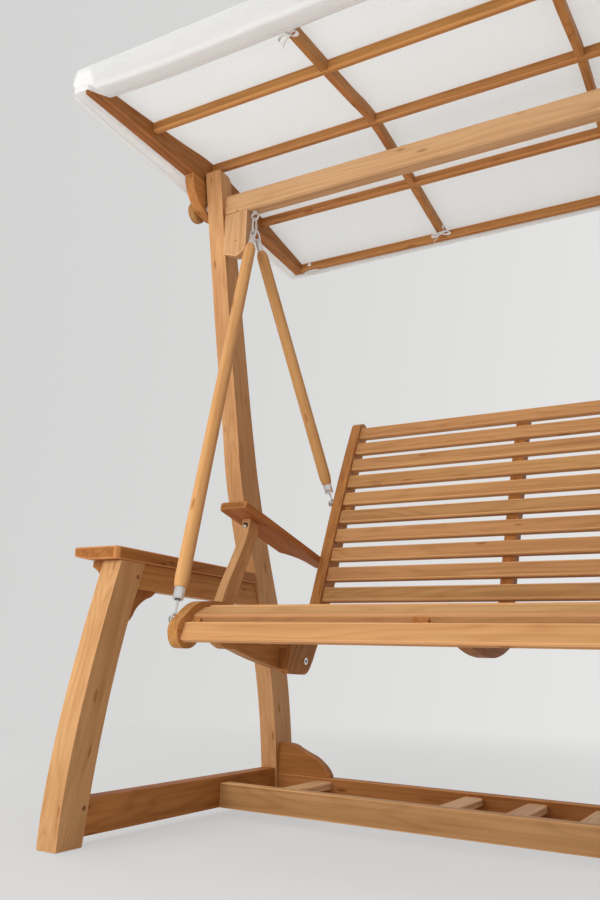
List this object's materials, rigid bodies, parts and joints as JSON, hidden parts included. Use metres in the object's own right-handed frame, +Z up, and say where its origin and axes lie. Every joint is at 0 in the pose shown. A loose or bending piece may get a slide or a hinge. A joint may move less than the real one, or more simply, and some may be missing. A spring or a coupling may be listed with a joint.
{
  "type": "garden swing seat",
  "caption": "Free-standing teak garden swing: a slatted bench on wooden hanger rods in a curved frame, under a tilting cloth canopy.",
  "frame": {"origin": "on the floor under the middle of the swing's bounding box", "axes": "+X across to the sitter's left, +Y to the back, +Z up"},
  "size_m": [1.84, 1.136, 1.9343],
  "materials": {
    "teak": "oiled light teak with a straight grain",
    "rod_teak": "turned and oiled teak",
    "knob_teak": "turned and oiled teak",
    "bright_steel": "bright stainless steel",
    "canopy_cloth": "off-white woven outdoor cloth",
    "tie_tape": "white woven cotton tape"
  },
  "bodies": {
    "frame": {"arm_board_left": "teak", "arm_board_right": "teak", "arm_corbel_left": "teak", "arm_corbel_right": "teak", "arm_rail_left": "teak", "arm_rail_right": "teak", "back_post_left": "teak", "back_post_right": "teak", "base_cross_slats": "teak", "beam_bracket_left": "teak", "beam_bracket_right": "teak", "beam_eyes": "bright_steel", "canopy_bolts": "bright_steel", "front_leg_left": "teak", "front_leg_right": "teak", "front_stretcher": "teak", "leg_bracket_left": "teak", "leg_bracket_right": "teak", "main_beam": "teak", "rear_stretcher": "teak", "side_rail_left": "teak", "side_rail_right": "teak", "stretcher_bracket_left": "teak", "stretcher_bracket_right": "teak"},
    "canopy": {"canopy_cover": "canopy_cloth", "canopy_cross_bar_left": "teak", "canopy_cross_bar_right": "teak", "canopy_quadrant_left": "teak", "canopy_quadrant_right": "teak", "canopy_rail_fourth": "teak", "canopy_rail_front": "teak", "canopy_rail_middle": "teak", "canopy_rail_rear": "teak", "canopy_rail_second": "teak", "canopy_side_bar_left": "teak", "canopy_side_bar_right": "teak", "canopy_ties": "tie_tape"},
    "knob_left": {"canopy_knob_left": "knob_teak"},
    "knob_right": {"canopy_knob_right": "knob_teak"},
    "bench": {"arm_post_left": "teak", "arm_post_right": "teak", "armrest_left": "teak", "armrest_right": "teak", "back_mid_stile": "teak", "back_slats": "teak", "back_stile_left": "teak", "back_stile_right": "teak", "hanger_rod_front_left": "rod_teak", "hanger_rod_front_right": "rod_teak", "hanger_rod_rear_left": "rod_teak", "hanger_rod_rear_right": "rod_teak", "quick_links": "bright_steel", "rod_ferrules": "bright_steel", "rod_hooks": "bright_steel", "seat_battens": "teak", "seat_bolts": "bright_steel", "seat_mid_bearer": "teak", "seat_side_left": "teak", "seat_side_right": "teak", "seat_slats": "teak"}
  },
  "joints": [
    {"name": "bench_swing", "type": "hinge", "parent": "frame", "child": "bench", "pos_m": [0, -0.01689, 1.706], "axis": [1, 0, 0], "range_deg": [-25, 25]},
    {"name": "canopy_tilt", "type": "hinge", "parent": "frame", "child": "canopy", "pos_m": [0, -0.02895, 1.836], "axis": [1, 0, 0], "range_deg": [-12, 12]},
    {"name": "knob_left_turn", "type": "hinge", "parent": "frame", "child": "knob_left", "pos_m": [-0.885, -0.04822, 1.765], "axis": [-1, 0, 0], "range_deg": [-180, 180]},
    {"name": "knob_right_turn", "type": "hinge", "parent": "frame", "child": "knob_right", "pos_m": [0.885, -0.04822, 1.765], "axis": [1, 0, 0], "range_deg": [-180, 180]}
  ]
}
